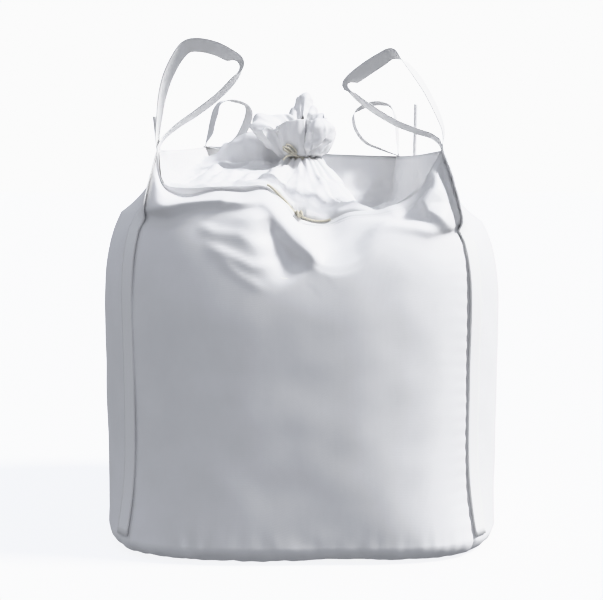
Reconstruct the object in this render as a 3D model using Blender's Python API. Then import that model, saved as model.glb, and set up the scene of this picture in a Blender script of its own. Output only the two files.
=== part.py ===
# A filled woven bulk bag of urea with four webbing lifting loops and a tied top, in metres, +Z up.
# The front is the -Y side. The origin is the middle of the base, on the ground.
import math

import bmesh
import bpy
from mathutils import Vector

# Body: the filled bag's rounded-square section, seen from above
BELLY_HALF = 0.541
BELLY_Z = 0.48
BASE_TUCK = 0.018
SHOULDER_TUCK = 0.050
SQUARE_BASE = 4.6
SQUARE_BELLY = 2.75
SQUARE_SHOULDER = 3.1
BASE_ROUNDING = 4.0
SHOULDER_ROUNDING = 1.5
EDGE_HEIGHT = 0.050
EDGE_DEPTH = 0.065

# Shoulder, where the filled part ends: its height in the middle of each side, and its higher left front
SHOULDER_Z = 0.840
SHOULDER_RISE_LEFT = 0.035

# Cloth and gaps
CLOTH = 0.003
GAP = 0.0003
SEAM_GAP = 0.0008
FILL_GAP = 0.0034

# Heap of prills inside, and the top cloth over it
HEAP_RISE = 0.012
HEAP_START = 0.6
HEAP_RINGS = 6
FLOOR_RINGS = 3
COVER_INSET = 0.08
SKIRT_RINGS = 9
MOUTH_RINGS = 8

# The top cloth by direction round the neck, in degrees from +X: its heights on the way from the
# wall to the neck, at the reaches below
SKIRT_REACH = (0.0, 0.35, 0.65, 0.88, 1.0)
SKIRT = (
    (0, (0.900, 0.862, 0.890, 0.975)),
    (60, (0.905, 0.865, 0.890, 0.970)),
    (100, (0.930, 0.890, 0.905, 0.970)),
    (135, (0.985, 0.965, 0.975, 0.990)),
    (160, (0.995, 1.040, 1.055, 0.998)),
    (180, (0.980, 0.995, 1.015, 0.996)),
    (205, (0.950, 0.955, 0.985, 0.990)),
    (230, (0.930, 0.930, 0.955, 0.985)),
    (255, (0.910, 0.925, 0.950, 0.985)),
    (275, (0.858, 0.900, 0.945, 0.988)),
    (300, (0.850, 0.880, 0.930, 0.988)),
    (330, (0.880, 0.862, 0.895, 0.980)),
)

# The gathered mouth above the tie, by direction: its reach from the neck's middle, the height of
# that reach, and its top
MOUTH = (
    (0, (0.086, 1.075, 1.120)),
    (40, (0.075, 1.100, 1.140)),
    (70, (0.070, 1.130, 1.176)),
    (105, (0.062, 1.130, 1.165)),
    (135, (0.078, 1.100, 1.130)),
    (165, (0.115, 1.095, 1.122)),
    (190, (0.142, 1.090, 1.112)),
    (215, (0.110, 1.075, 1.105)),
    (240, (0.075, 1.085, 1.112)),
    (270, (0.066, 1.090, 1.108)),
    (300, (0.072, 1.070, 1.115)),
    (330, (0.082, 1.070, 1.122)),
)
MOUTH_TOP_SHARE = 0.62
MOUTH_HOLLOW_Z = 1.085
TIE_HALF = 0.006
TIE_CORD_RADIUS = 0.003
TIE_STEPS = 32
FRONT_TIE_SPAN = (0.375, 0.5, 0.6)
FRONT_TIE_LIFT = 0.0065
KNOT_RADIUS = 0.007
KNOT_LENGTH = 0.018
KNOT_TURNS = 2
KNOT_STEPS = 20
CORD_STEPS = 5
NECK_Z = 1.010
NECK_RADIUS = 0.036
NECK_Y = -0.040

# Steps of the meshes
PANEL_STEPS = 12
BODY_ROWS = 14
EDGE_ROWS = 3
WALL_ROWS = 6
SLOPE_STEP = 0.25
LOOP_STEPS = 30

# Webbing of the lifting loops
WEB_WIDTH = 0.045
WEB_THICK = 0.003
WEB_FOOT_ROW = 3
WEB_LAP_ROW = 12
WEB_LIFT_FRONT_LEFT = 0.0022
WEB_LIFT_FRONT_RIGHT = 0.0014
WEB_LIFT_BACK_LEFT = 0.0018
WEB_LIFT_BACK_RIGHT = 0.0026
WEB_SHARE = 0.034
FOLD_FRONT = (0.0, 0.62, -0.78)
FOLD_BACK = (0.0, 0.70, -0.71)
FOLD_HOLD = 4

# Corner tips of the hem, in order: front left, front right, back right, back left
TIPS = (
    Vector((-0.367, -0.360, 1.032)),
    Vector((0.355, -0.360, 1.032)),
    Vector((0.290, 0.340, 1.014)),
    Vector((-0.288, 0.340, 1.043)),
)
SEAM_ANGLES = (math.radians(-135), math.radians(-45), math.radians(45), math.radians(135))

# Free top edge of the front panel, from the left tip down to the knot and up to the right tip
FRONT_HEM = (
    TIPS[0],
    Vector((-0.336, -0.395, 0.955)),
    Vector((-0.224, -0.405, 0.940)),
    Vector((-0.087, -0.410, 0.935)),
    Vector((-0.012, -0.425, 0.869)),
    Vector((0.141, -0.420, 0.869)),
    Vector((0.220, -0.400, 0.898)),
    Vector((0.293, -0.380, 0.955)),
    TIPS[1],
)
HEM_SAG = 0.020

# Path points of the lifting loops' middle lines, from one leg's root to the other's
LOOP_FRONT_LEFT = (
    (-0.361, -0.372, 1.100), (-0.344, -0.380, 1.189), (-0.317, -0.385, 1.251), (-0.280, -0.378, 1.280),
    (-0.232, -0.355, 1.276), (-0.189, -0.325, 1.262), (-0.167, -0.300, 1.227), (-0.195, -0.295, 1.187),
    (-0.253, -0.305, 1.142), (-0.316, -0.335, 1.092),
)
LOOP_FRONT_RIGHT = (
    (0.360, -0.372, 1.081), (0.329, -0.380, 1.148), (0.290, -0.385, 1.217), (0.241, -0.378, 1.261),
    (0.197, -0.355, 1.251), (0.153, -0.325, 1.221), (0.127, -0.300, 1.189), (0.161, -0.292, 1.156),
    (0.234, -0.305, 1.108), (0.312, -0.338, 1.073),
)
LOOP_BACK_LEFT = (
    (-0.280, 0.345, 1.098), (-0.265, 0.330, 1.143), (-0.243, 0.318, 1.163), (-0.207, 0.310, 1.169),
    (-0.177, 0.312, 1.151), (-0.172, 0.320, 1.113), (-0.208, 0.330, 1.081), (-0.249, 0.338, 1.063),
)
LOOP_BACK_RIGHT = (
    (0.289, 0.345, 1.073), (0.287, 0.340, 1.123), (0.265, 0.325, 1.155), (0.217, 0.312, 1.161),
    (0.174, 0.310, 1.147), (0.164, 0.318, 1.108), (0.191, 0.330, 1.063), (0.244, 0.340, 1.038),
)

# Stiff tape ends that stand up from the hem
TAPE_WIDTH = 0.009
TAPE_THICK = 0.002
TAPE_ROOT = 0.7
TAPE_STEPS = 3
TAPE_SHARE = 0.02
TAPE_RIGHT_SHARE = 0.60
TAPE_RIGHT_TOP = (0.326, 0.060, 1.164)
TAPE_RIGHT_LIFT = 0.0009
TAPE_LEFT_SHARE = 0.90
TAPE_LEFT_TOP = (-0.375, -0.290, 1.120)
TAPE_LEFT_LIFT = 0.0014

# Colours and finishes, linear
CLOTH_WHITE = (0.80, 0.80, 0.81)
WEB_WHITE = (0.84, 0.84, 0.84)
CORD_CREAM = (0.70, 0.66, 0.56)
UREA_WHITE = (0.90, 0.90, 0.88)


def clear_scene():
    for existing in list(bpy.data.objects):
        bpy.data.objects.remove(existing, do_unlink=True)


def finish_of(name, colour, roughness):
    material = bpy.data.materials.new(name)
    material.use_nodes = True
    shader = material.node_tree.nodes["Principled BSDF"]
    shader.inputs["Base Color"].default_value = (*colour, 1.0)
    shader.inputs["Roughness"].default_value = roughness
    shader.inputs["Metallic"].default_value = 0.0
    return material


def squareness_at(height, top):
    """How square the section is: square at the sewn base, rounder at the belly."""
    if height < BELLY_Z:
        fall = ((BELLY_Z - height) / BELLY_Z) ** BASE_ROUNDING
        return SQUARE_BELLY + (SQUARE_BASE - SQUARE_BELLY) * fall
    rise = ((height - BELLY_Z) / (top - BELLY_Z)) ** SHOULDER_ROUNDING
    return SQUARE_BELLY + (SQUARE_SHOULDER - SQUARE_BELLY) * rise


def section_radius(half_width, angle, squareness):
    """Distance from the middle to a rounded square of this half width, at this angle."""
    across = abs(math.cos(angle)) ** squareness + abs(math.sin(angle)) ** squareness
    return half_width / across ** (1.0 / squareness)


def shoulder_height(angle):
    """The filled part is a little higher at the left front than elsewhere."""
    towards_left_front = 0.5 + 0.5 * math.cos(angle - SEAM_ANGLES[0])
    return SHOULDER_Z + SHOULDER_RISE_LEFT * towards_left_front ** 4


def half_width_at(height, top):
    """Half width of the body at a height: tucked in at the base and at the shoulder."""
    if height < BELLY_Z:
        return BELLY_HALF - BASE_TUCK * ((BELLY_Z - height) / BELLY_Z) ** 2
    return BELLY_HALF - SHOULDER_TUCK * ((height - BELLY_Z) / (top - BELLY_Z)) ** 4


def body_profile(angle, rise):
    """Radius and height on the filled body, for rise from 0 at the base's edge to 1 at the shoulder."""
    top = shoulder_height(angle)
    edge_share = EDGE_ROWS / BODY_ROWS
    if rise <= edge_share:
        turn = 0.5 * math.pi * rise / edge_share
        height = EDGE_HEIGHT * (1.0 - math.cos(turn))
        half_width = half_width_at(EDGE_HEIGHT, top) - EDGE_DEPTH * (1.0 - math.sin(turn))
    else:
        height = EDGE_HEIGHT + (top - EDGE_HEIGHT) * (rise - edge_share) / (1.0 - edge_share)
        half_width = half_width_at(height, top)
    return section_radius(half_width, angle, squareness_at(height, top)), height


def polar_point(radius, angle, height):
    return Vector((radius * math.cos(angle), radius * math.sin(angle), height))


def seam_angle(side, share):
    """Angle across one side's panel, for share from 0 at its first corner to 1 at its next."""
    return SEAM_ANGLES[0] + (side + share) * 0.5 * math.pi


def curve_point(points, share):
    """A point on a smooth curve through the given points, for share from 0 to 1."""
    spans = len(points) - 1
    place = min(max(share, 0.0), 1.0) * spans
    index = min(int(place), spans - 1)
    t = place - index
    p1, p2 = Vector(points[index]), Vector(points[index + 1])
    p0 = Vector(points[index - 1]) if index else 2 * p1 - p2
    p3 = Vector(points[index + 2]) if index + 2 <= spans else 2 * p2 - p1
    bend = 2 * p0 - 5 * p1 + 4 * p2 - p3
    twist = 3 * p1 - p0 - 3 * p2 + p3
    return 0.5 * (2 * p1 + (p2 - p0) * t + bend * t ** 2 + twist * t ** 3)


def hem_point(side, share):
    """Free top edge of one side's panel: straight and a little slack, but for the front one."""
    if side == 0:
        return curve_point(FRONT_HEM, share)
    start, end = TIPS[side], TIPS[(side + 1) % 4]
    sag = HEM_SAG * 4 * share * (1 - share)
    return start.lerp(end, share) - Vector((0, 0, sag))


def outer_point(side, share, row):
    """Outside of a panel: rows 0 to BODY_ROWS lie on the filled body, the rest rise to the hem."""
    angle = seam_angle(side, share)
    if row <= BODY_ROWS:
        radius, height = body_profile(angle, row / BODY_ROWS)
        return polar_point(radius, angle, height)
    radius, height = body_profile(angle, 1.0)
    shoulder = polar_point(radius, angle, height)
    return shoulder.lerp(hem_point(side, share), (row - BODY_ROWS) / WALL_ROWS)


def inward(side, share, row):
    """Inward normal in the upright plane through the middle line, for a cloth's thickness."""
    last = BODY_ROWS + WALL_ROWS
    low = outer_point(side, share, max(row - SLOPE_STEP, 0.0))
    high = outer_point(side, share, min(row + SLOPE_STEP, last))
    here = outer_point(side, share, row)
    out = Vector((here.x, here.y, 0.0)).normalized()
    run = high - low
    along_out, up = run.dot(out), run.z
    normal = Vector((-up * out.x, -up * out.y, along_out))
    if row > BODY_ROWS:
        normal.z = min(normal.z, 0.0)
    return normal.normalized()


def layered_point(side, share, row, depth):
    return outer_point(side, share, row) + inward(side, share, row) * depth


def new_piece(name, mesh_data, material):
    bmesh.ops.recalc_face_normals(mesh_data, faces=mesh_data.faces)
    if mesh_data.calc_volume(signed=True) < 0.0:
        bmesh.ops.reverse_faces(mesh_data, faces=mesh_data.faces)
    mesh = bpy.data.meshes.new(name)
    mesh_data.to_mesh(mesh)
    mesh_data.free()
    mesh.shade_smooth()
    mesh.set_sharp_from_angle(angle=math.radians(50))
    mesh.materials.append(material)
    piece = bpy.data.objects.new(name, mesh)
    bpy.context.scene.collection.objects.link(piece)
    return piece


def bent_slab(name, columns, rows, place, material):
    """A flat grid given a thickness, then bent: place takes shares across, up and through it."""
    slab = bmesh.new()
    bmesh.ops.create_grid(slab, x_segments=columns, y_segments=rows, size=0.5)
    bmesh.ops.translate(slab, verts=slab.verts, vec=(0.5, 0.5, 0.0))
    grown = bmesh.ops.extrude_face_region(slab, geom=slab.faces[:], use_keep_orig=True)
    far_side = [item for item in grown["geom"] if isinstance(item, bmesh.types.BMVert)]
    bmesh.ops.translate(slab, verts=far_side, vec=(0.0, 0.0, 1.0))
    for vert in slab.verts:
        vert.co = place(*vert.co)
    return new_piece(name, slab, material)


def rounded_body(name, columns, rows, place, material):
    """A ball whose rings are moved: place takes a share around it and a row from 0 to rows."""
    ball = bmesh.new()
    bmesh.ops.create_uvsphere(ball, u_segments=columns, v_segments=rows, radius=1.0)
    for vert in ball.verts:
        row = round(math.acos(max(-1.0, min(1.0, -vert.co.z))) / math.pi * rows)
        around = math.atan2(vert.co.y, vert.co.x) if 0 < row < rows else 0.0
        column = round((around - SEAM_ANGLES[0]) % (2 * math.pi) / (2 * math.pi) * columns) % columns
        vert.co = place(column, row)
    return new_piece(name, ball, material)


def make_panel(name, side, material):
    """One side panel, from the base's edge over the belly and shoulder to the hem."""
    rows = BODY_ROWS + WALL_ROWS

    def place(across, up, through):
        inset = SEAM_GAP / (2 * BELLY_HALF)
        share = inset + across * (1 - 2 * inset)
        return layered_point(side, share, up * rows, through * CLOTH)

    return bent_slab(name, PANEL_STEPS, rows, place, material)


def make_base(material):
    """The flat base panel, a rounded square sewn to the side panels."""
    columns = 4 * PANEL_STEPS
    base = bmesh.new()
    bmesh.ops.create_circle(base, cap_ends=True, segments=columns, radius=1.0)
    for vert in base.verts:
        angle = math.atan2(vert.co.y, vert.co.x)
        radius = body_profile(angle, 0.0)[0] - SEAM_GAP
        vert.co = polar_point(radius, angle, 0.0)
    grown = bmesh.ops.extrude_face_region(base, geom=base.faces[:], use_keep_orig=True)
    top = [item for item in grown["geom"] if isinstance(item, bmesh.types.BMVert)]
    bmesh.ops.translate(base, verts=top, vec=(0.0, 0.0, CLOTH))
    return new_piece("base_panel", base, material)


def heap_point(column, inner):
    """Top of the prills: inner is 0 at the shoulder and 1 in the middle, straight between its rings."""
    side, share = divmod(column / PANEL_STEPS, 1.0)
    side, depth = int(side), CLOTH + FILL_GAP
    below = layered_point(side, share, BODY_ROWS - 1, depth)
    shoulder = layered_point(side, share, BODY_ROWS, depth)
    rim = below.lerp(shoulder, HEAP_START)
    middle = Vector((0.0, 0.0, SHOULDER_Z + HEAP_RISE))
    return rim.lerp(middle, inner)


def make_fill(material):
    """The prills that fill the bag: they touch every panel and heap up under the top cloth."""
    rows = FLOOR_RINGS + BODY_ROWS - 1 + HEAP_RINGS + 1
    depth = CLOTH + FILL_GAP

    def place(column, row):
        side, share = divmod(column / PANEL_STEPS, 1.0)
        if row <= FLOOR_RINGS:
            rim = layered_point(int(side), share, 0, depth)
            reach = row / FLOOR_RINGS
            return Vector((rim.x * reach, rim.y * reach, rim.z))
        body_row = row - FLOOR_RINGS
        if body_row < BODY_ROWS:
            return layered_point(int(side), share, body_row, depth)
        return heap_point(column, (body_row - BODY_ROWS) / HEAP_RINGS)

    return rounded_body("urea_fill", 4 * PANEL_STEPS, rows, place, material)


def cover_start(side, share):
    """How far in along the heap the top cloth's rim lies, inside the hem of the walls."""
    rim = heap_point((side + share) * PANEL_STEPS, 0.0).xy.length
    return 1.0 - hem_point(side, share).xy.length * (1.0 - COVER_INSET) / rim


def by_direction(table, direction):
    """Values of a table by direction, smoothly between its rows and round the circle."""
    degrees = math.degrees(direction) % 360.0
    rows = [(table[-1][0] - 360.0, table[-1][1]), *table, (table[0][0] + 360.0, table[0][1])]
    index = max(number for number, row in enumerate(rows) if row[0] <= degrees)
    (low, first), (high, second) = rows[index], rows[index + 1]
    t = (degrees - low) / (high - low)
    blend = t * t * (3.0 - 2.0 * t)
    return [a + (b - a) * blend for a, b in zip(first, second)]


def skirt_point(rim, direction, share):
    """The top cloth inside the walls, for share from 0 at its rim to 1 at the neck's underside."""
    neck = polar_point(NECK_RADIUS, direction, NECK_Z - TIE_HALF) + Vector((0.0, NECK_Y, 0.0))
    heights = by_direction(SKIRT, direction) + [neck.z]
    points = []
    for reach, height in zip(SKIRT_REACH, heights):
        point = rim.lerp(neck, reach)
        points.append(Vector((point.x, point.y, height)))
    return curve_point(points, share)


def mouth_point(direction, share):
    """The cloth above the tie: it flares out, rises and closes over, share from 0 at the neck to 1."""
    reach, reach_height, top = by_direction(MOUTH, direction)
    profile = (
        Vector((NECK_RADIUS, 0.0, NECK_Z + TIE_HALF)),
        Vector((reach, 0.0, reach_height)),
        Vector((reach * MOUTH_TOP_SHARE, 0.0, top)),
        Vector((0.0, 0.0, MOUTH_HOLLOW_Z)),
    )
    spot = curve_point(profile, share)
    return polar_point(spot.x, direction, spot.z) + Vector((0.0, NECK_Y, 0.0))


def make_cover(material):
    """The top cloth: it lies on the heap inside the walls, rises to the tied neck and opens above
    it into the gathered mouth."""
    rows = 3 + SKIRT_RINGS + MOUTH_RINGS

    def place(column, row):
        side, across = divmod(column / PANEL_STEPS, 1.0)
        rim = heap_point(column, cover_start(int(side), across)) + Vector((0.0, 0.0, GAP))
        if row == 0:
            return heap_point(column, 1.0) + Vector((0.0, 0.0, GAP))
        if row == 1:
            return rim
        direction = math.atan2(rim.y - NECK_Y, rim.x)
        if row <= 2 + SKIRT_RINGS:
            return skirt_point(rim, direction, (row - 2) / SKIRT_RINGS)
        return mouth_point(direction, (row - 3 - SKIRT_RINGS) / MOUTH_RINGS)

    return rounded_body("top_cover", 4 * PANEL_STEPS, rows, place, material)


def make_neck_tie(material):
    """The cord wound round the neck, as one ring."""
    radius = NECK_RADIUS + TIE_CORD_RADIUS + GAP
    points = [
        Vector((radius * math.cos(turn), NECK_Y + radius * math.sin(turn), NECK_Z))
        for turn in (2.0 * math.pi * step / TIE_STEPS for step in range(TIE_STEPS))
    ]
    return cord_piece("neck_tie", points, TIE_CORD_RADIUS, True, material)


def cord_piece(name, points, radius, closed, material):
    """A round cord along points, with its ends filled."""
    line = bpy.data.curves.new(name, "CURVE")
    line.dimensions = "3D"
    line.bevel_depth = radius
    line.bevel_resolution = 2
    line.use_fill_caps = True
    spline = line.splines.new("POLY")
    spline.points.add(len(points) - 1)
    for place, point in zip(spline.points, points):
        place.co = (*point, 1.0)
    spline.use_cyclic_u = closed
    line.materials.append(material)
    piece = bpy.data.objects.new(name, line)
    bpy.context.scene.collection.objects.link(piece)
    return piece


def make_front_tie(material):
    """The cord in the front hem, with the knot that holds the hem down against the top cloth."""
    start, knot, end = FRONT_TIE_SPAN
    last = BODY_ROWS + WALL_ROWS

    def on_hem(share):
        rise = flat_point(0, share, last) - flat_point(0, share, last - 1)
        cloth_middle = inward(0, share, last) * CLOTH / 2
        return flat_point(0, share, last) + cloth_middle + rise.normalized() * FRONT_TIE_LIFT

    points = [on_hem(start + (knot - start) * step / CORD_STEPS) for step in range(CORD_STEPS)]
    middle = on_hem(knot) + Vector((0.0, 0.0, KNOT_RADIUS + 2 * TIE_CORD_RADIUS))
    for step in range(KNOT_STEPS + 1):
        turn = 2.0 * math.pi * KNOT_TURNS * step / KNOT_STEPS - 0.5 * math.pi
        slide = KNOT_LENGTH * (step / KNOT_STEPS - 0.5)
        ring = Vector((slide, KNOT_RADIUS * math.cos(turn), KNOT_RADIUS * math.sin(turn)))
        points.append(middle + ring)
    points += [on_hem(knot + (end - knot) * step / CORD_STEPS) for step in range(1, CORD_STEPS + 1)]
    return cord_piece("front_tie", points, TIE_CORD_RADIUS, False, material)


def flat_point(side, share, row):
    """The panel's outside as its flat faces give it, between the grid's columns."""
    inset = SEAM_GAP / (2 * BELLY_HALF)
    place = (share - inset) / (1 - 2 * inset) * PANEL_STEPS
    column = min(int(place), PANEL_STEPS - 1)
    first = inset + column / PANEL_STEPS * (1 - 2 * inset)
    second = inset + (column + 1) / PANEL_STEPS * (1 - 2 * inset)
    return outer_point(side, first, row).lerp(outer_point(side, second, row), place - column)


def make_lift_loop(name, side, at_end, loop, folded, lift, material):
    """One webbing strap: up the side panel beside the corner seam, over in a loop above the tip
    and down again on top of its first leg."""
    share = 1.0 - WEB_SHARE if at_end else WEB_SHARE
    last = BODY_ROWS + WALL_ROWS
    first_leg = list(range(WEB_FOOT_ROW, last + 1))
    second_leg = list(range(last, WEB_LAP_ROW - 1, -1))
    towards_seam = 1.0 if at_end else -1.0

    def on_panel(row, layers):
        here = flat_point(side, share, row)
        ahead = flat_point(side, share + WEB_SHARE / 2, row)
        behind = flat_point(side, share - WEB_SHARE / 2, row)
        across = (ahead - behind).normalized() * towards_seam
        out = -inward(side, share, row)
        out = (out - across * out.dot(across)).normalized()
        return here + out * (lift + (layers + 0.5) * WEB_THICK + layers * GAP), across

    stations = [on_panel(row, 0) for row in first_leg]
    root_across = stations[-1][1]
    for step in range(1, LOOP_STEPS):
        along = step / LOOP_STEPS
        fold = math.sin(math.pi * along) ** FOLD_HOLD
        across = (root_across * (1.0 - fold) + Vector(folded) * fold).normalized()
        stations.append((curve_point(loop, along), across))
    stations += [on_panel(row, 1) for row in second_leg]
    count = len(stations) - 1

    def place(along, over, through):
        index = round(along * count)
        middle, across = stations[index]
        before, after = stations[max(index - 1, 0)][0], stations[min(index + 1, count)][0]
        run = (after - before).normalized()
        across = (across - run * across.dot(run)).normalized()
        up = run.cross(across)
        return middle + across * WEB_WIDTH * (over - 0.5) + up * WEB_THICK * (through - 0.5)

    return bent_slab(name, count, 1, place, material)


def make_hem_tape(name, side, share, top, gap, material):
    """A short stiff tape end sewn to the outside of a panel's hem, standing up above it."""
    last = BODY_ROWS + WALL_ROWS
    across = flat_point(side, share + TAPE_SHARE, last) - flat_point(side, share - TAPE_SHARE, last)
    across.normalize()
    out = -inward(side, share, last)
    out = (out - across * out.dot(across)).normalized()
    lift = out * (gap + TAPE_THICK / 2)
    hem = flat_point(side, share, last)
    root = hem.lerp(flat_point(side, share, last - 1), TAPE_ROOT) + lift
    free_end = [(hem + lift).lerp(Vector(top), step / TAPE_STEPS) for step in range(TAPE_STEPS + 1)]
    stations = [root] + free_end
    count = len(stations) - 1

    def place(along, over, through):
        middle = stations[round(along * count)]
        return middle + across * TAPE_WIDTH * (over - 0.5) + out * TAPE_THICK * (through - 0.5)

    return bent_slab(name, count, 1, place, material)


def main():
    clear_scene()
    cloth = finish_of("woven_cloth", CLOTH_WHITE, 0.62)
    webbing = finish_of("webbing", WEB_WHITE, 0.55)
    cord = finish_of("tie_cord", CORD_CREAM, 0.7)
    urea = finish_of("urea_prills", UREA_WHITE, 0.8)
    make_base(cloth)
    for side, name in enumerate(("front_panel", "right_panel", "back_panel", "left_panel")):
        make_panel(name, side, cloth)
    make_fill(urea)
    make_cover(cloth)
    make_neck_tie(cord)
    make_front_tie(cord)
    make_lift_loop("lift_loop_front_left", 3, True, LOOP_FRONT_LEFT, FOLD_FRONT,
                   WEB_LIFT_FRONT_LEFT, webbing)
    make_lift_loop("lift_loop_front_right", 1, False, LOOP_FRONT_RIGHT, FOLD_FRONT,
                   WEB_LIFT_FRONT_RIGHT, webbing)
    make_lift_loop("lift_loop_back_right", 1, True, LOOP_BACK_RIGHT, FOLD_BACK,
                   WEB_LIFT_BACK_RIGHT, webbing)
    make_lift_loop("lift_loop_back_left", 3, False, LOOP_BACK_LEFT, FOLD_BACK,
                   WEB_LIFT_BACK_LEFT, webbing)
    make_hem_tape("hem_tape_right", 1, TAPE_RIGHT_SHARE, TAPE_RIGHT_TOP, TAPE_RIGHT_LIFT, webbing)
    make_hem_tape("hem_tape_left", 3, TAPE_LEFT_SHARE, TAPE_LEFT_TOP, TAPE_LEFT_LIFT, webbing)


main()
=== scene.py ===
import math
from functools import partial

import bmesh
import bpy
from bpy.props import FloatProperty, FloatVectorProperty, PointerProperty
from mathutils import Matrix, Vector, noise


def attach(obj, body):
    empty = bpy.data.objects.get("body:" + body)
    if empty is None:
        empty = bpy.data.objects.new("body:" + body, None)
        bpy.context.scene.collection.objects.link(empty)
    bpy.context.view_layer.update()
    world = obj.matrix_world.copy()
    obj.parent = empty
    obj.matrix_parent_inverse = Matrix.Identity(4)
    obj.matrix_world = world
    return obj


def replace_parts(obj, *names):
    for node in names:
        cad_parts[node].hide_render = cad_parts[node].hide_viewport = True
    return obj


bl_info = {
    "name": "Bulk bag of urea",
    "version": (1, 0, 0),
    "blender": (4, 5, 0),
    "location": "3D View > Sidebar > Bulk Bag",
    "description": "Builds a filled woven bulk bag with lifting loops and a gathered, tied top",
    "category": "Object",
}

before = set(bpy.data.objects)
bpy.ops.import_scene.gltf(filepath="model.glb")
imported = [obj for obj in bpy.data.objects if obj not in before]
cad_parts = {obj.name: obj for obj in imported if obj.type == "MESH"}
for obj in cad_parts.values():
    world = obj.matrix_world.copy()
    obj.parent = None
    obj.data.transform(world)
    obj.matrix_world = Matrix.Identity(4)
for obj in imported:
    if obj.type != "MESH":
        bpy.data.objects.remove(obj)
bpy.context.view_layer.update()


def metres(value):
    """Millimetres, alone or in nested tuples, as metres."""
    return value / 1000 if isinstance(value, (int, float)) else tuple(map(metres, value))


# The filled body, as the solids have it: half width at the belly, how far it tucks in below and
# above, how square its section is, the rounded edge of the base, and the shoulder, which is
# higher towards the front left seam
BELLY_HALF = 0.541
BELLY_Z = 0.48
BASE_TUCK = 0.018
SHOULDER_TUCK = 0.050
SQUARE_BASE = 4.6
SQUARE_BELLY = 2.75
SQUARE_SHOULDER = 3.1
BASE_ROUNDING = 4.0
SHOULDER_ROUNDING = 1.5
EDGE_HEIGHT = 0.050
EDGE_DEPTH = 0.065
EDGE_SHARE = 3.0 / 14.0
SHOULDER_Z = 0.840
SHOULDER_RISE_LEFT = 0.035

# The front left seam's direction, the share of a plain panel that lies on the filled body, the
# tops of the corner seams (front left, front right, back right, back left), how far the hem sags
# between them, and the length of the slack part
SEAM_ANGLE = math.radians(-135)
BODY_SHARE = 0.78
TIPS = (
    Vector((-0.367, -0.360, 1.032)),
    Vector((0.355, -0.360, 1.032)),
    Vector((0.290, 0.340, 1.014)),
    Vector((-0.288, 0.340, 1.043)),
)
HEM_SAG = 0.004
SLACK_LENGTH = 0.22
NECK = Vector((0.0, -0.040, 1.010))
NECK_RADIUS = 0.036

# The front panel's top, from the left seam to the right one: where along it, and four lines across
# it in millimetres, each lower one further out. Crest: the edge of the filled part. Ledge: the
# cloth lying behind it. Lip: the underside of the hem. Hem: the free edge, tied down by the knot.
FRONT_STATIONS = (0.0, 0.1, 0.15, 0.23, 0.31, 0.385, 0.44, 0.5, 0.58, 0.665, 0.745, 0.82,
                  0.88, 1.0)
FRONT_HEM = metres((
    (-362, -364, 1032), (-347, -394, 950), (-292, -402, 939), (-214, -406, 942),
    (-146, -409, 943), (-86, -408, 941), (-47, -396, 895), (-6, -384, 852), (59, -380, 849),
    (121, -385, 875), (195, -392, 882), (258, -394, 911), (304, -392, 950), (354, -364, 1028),
))
FRONT_LIP = metres((
    (-370, -372, 1003), (-344, -394, 935), (-294, -398, 914), (-215, -401, 931),
    (-146, -403, 929), (-88, -408, 932), (-50, -404, 882), (-12, -394, 840), (60, -394, 836),
    (124, -404, 860), (199, -410, 866), (266, -414, 886), (315, -408, 924), (364, -372, 1001),
))
FRONT_LEDGE = metres((
    (-380, -385, 964), (-340, -440, 914), (-295, -441, 908), (-216, -446, 923), (-148, -446, 921),
    (-90, -434, 926), (-52, -436, 886), (-12, -438, 836), (48, -440, 806), (125, -438, 836),
    (203, -436, 858), (273, -434, 858), (322, -425, 877), (378, -386, 960),
))
FRONT_CREST = metres((
    (-398, -405, 892), (-346, -470, 893), (-297, -474, 903), (-217, -478, 912), (-149, -480, 908),
    (-94, -466, 908), (-56, -468, 872), (-16, -480, 826), (40, -490, 784), (120, -488, 796),
    (203, -476, 850), (276, -470, 846), (326, -460, 839), (404, -404, 864),
))
FRONT_LINES = [[Vector(place) for place in line]
               for line in (FRONT_CREST, FRONT_LEDGE, FRONT_LIP, FRONT_HEM)]

# How the front panel climbs from the filled body to its hem: where it leaves the body, how far
# below the crest that is, the places of the six lines on the way, the step and the share that
# lead it off the body smoothly, and the length of that part
FRONT_START = 0.66
FRONT_DROP = 0.055
FRONT_RISE = (0.0, 0.1, 0.34, 0.58, 0.8, 1.0)
FRONT_STEP = 0.02
FRONT_LEAD = 0.2
FRONT_LENGTH = 0.17

# Folds in millimetres: height, width on the left and on the right of the line, and the line. On
# the front panel it runs in x and z, on the top cloth in x and y.
FRONT_FOLDS = metres((
    (18, 18, 45, ((-88, 938), (-48, 876), (-6, 815), (26, 775), (45, 750))),
    (-24, 45, 30, ((-88, 872), (-64, 818), (-32, 770), (4, 728))),
    (10, 45, 34, ((-126, 890), (-122, 850), (-104, 812), (-80, 775))),
    (4.5, 16, 10, ((-262, 852), (-208, 832), (-155, 826), (-85, 795))),
    (5.5, 18, 11, ((-245, 806), (-181, 779), (-118, 752), (-50, 758))),
    (3, 14, 9, ((-205, 772), (-150, 730), (-80, 690))),
    (3, 14, 14, ((-200, 918), (-192, 902), (-186, 888))),
    (20, 13, 50, ((352, 985), (330, 930), (306, 898), (318, 872), (352, 850), (385, 838))),
    (-12, 32, 14, ((340, 965), (300, 925), (268, 890), (240, 862))),
    (-12, 16, 10, ((352, 995), (364, 950), (379, 912), (394, 870), (407, 825))),
))
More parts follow.
